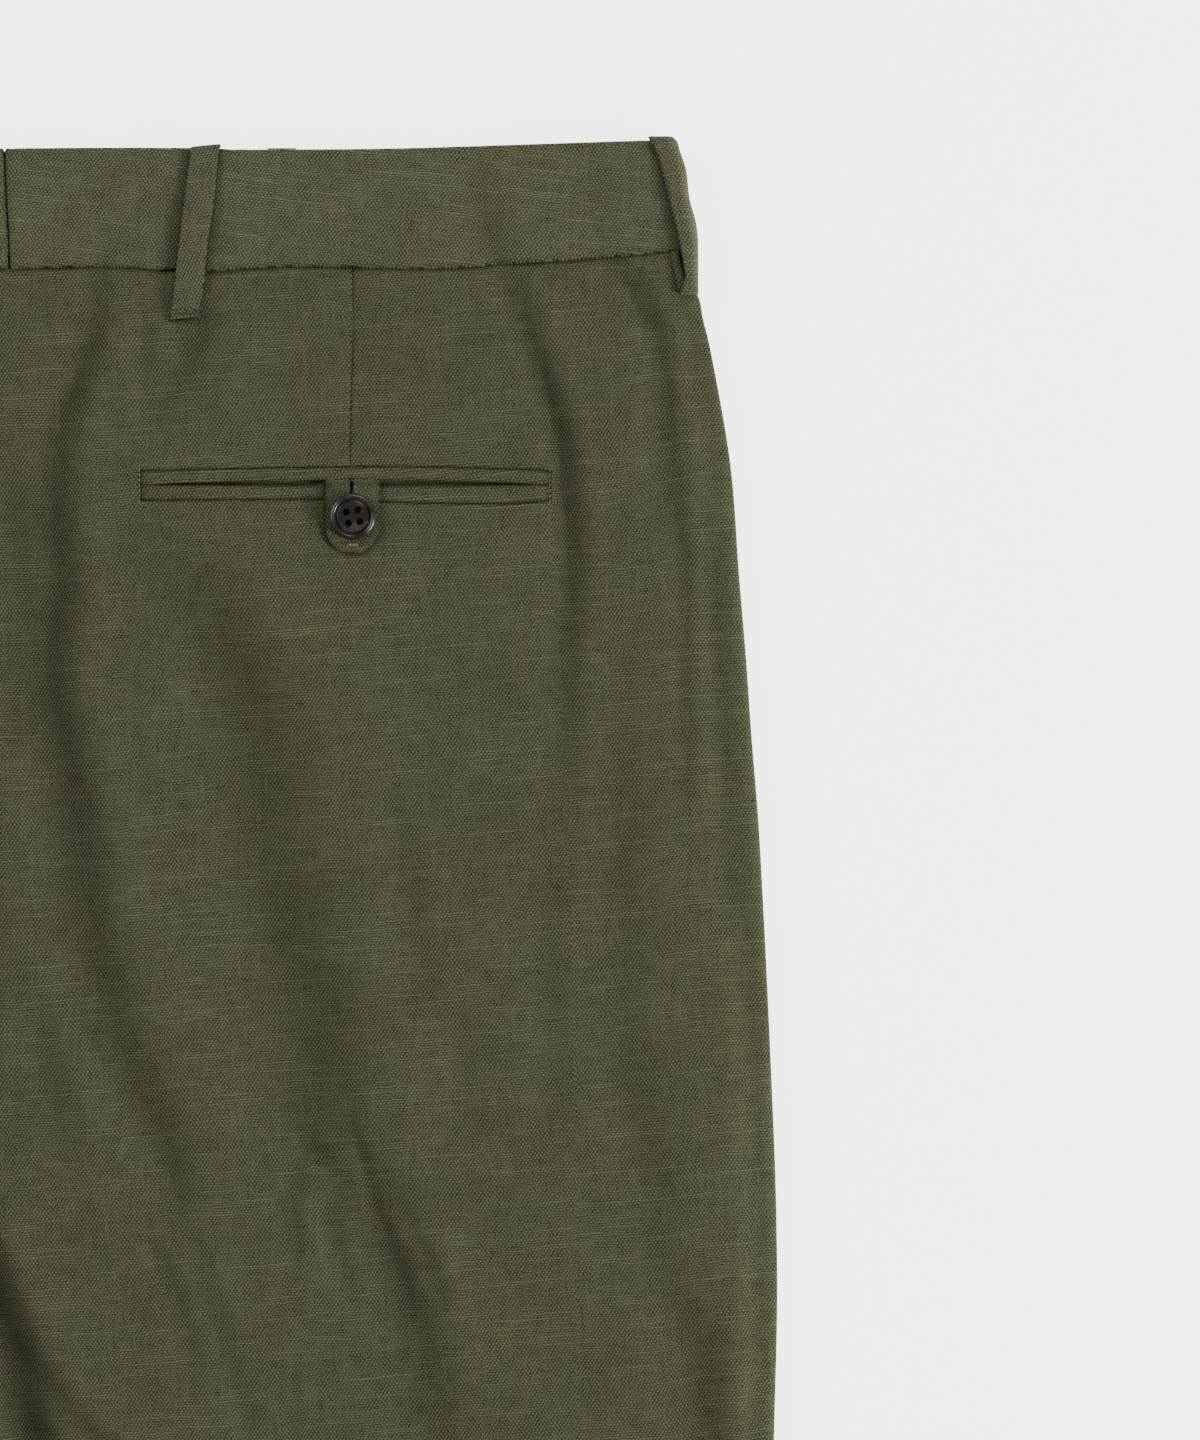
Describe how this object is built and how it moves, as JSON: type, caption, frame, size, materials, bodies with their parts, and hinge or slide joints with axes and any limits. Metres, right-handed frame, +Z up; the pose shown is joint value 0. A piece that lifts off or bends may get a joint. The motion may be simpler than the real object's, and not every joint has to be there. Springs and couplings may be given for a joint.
{
  "type": "linen trousers laid flat",
  "caption": "Long linen trousers laid flat with the back up, with a loop-carrying waistband, darted seat and buttoned welt pockets.",
  "frame": {"origin": "under the middle of the laid garment, on the surface that it rests on", "axes": "+X to the wearer's right, +Y from the hems to the waist, +Z up through the back of the garment"},
  "size_m": [0.515, 1.0514, 0.0105],
  "materials": {
    "linen": "matte plain-woven linen with pale slubs, dark olive",
    "linen_band": "the same linen, folded and pressed, a little paler",
    "button_resin": "polished dark brown, nearly black"
  },
  "bodies": {
    "root": {"back_panel_right": "linen", "back_panel_left": "linen", "front_panel_right": "linen", "front_panel_left": "linen", "waistband_right": "linen_band", "waistband_left": "linen_band", "loop_back_right": "linen_band", "loop_back_left": "linen_band", "loop_side_right": "linen_band", "loop_side_left": "linen_band", "loop_front_right": "linen_band", "loop_front_left": "linen_band", "welt_upper_right": "linen", "welt_upper_left": "linen", "welt_lower_right": "linen", "welt_lower_left": "linen", "tab_right": "linen", "tab_left": "linen", "button_right": "button_resin", "button_left": "button_resin"}
  },
  "joints": []
}
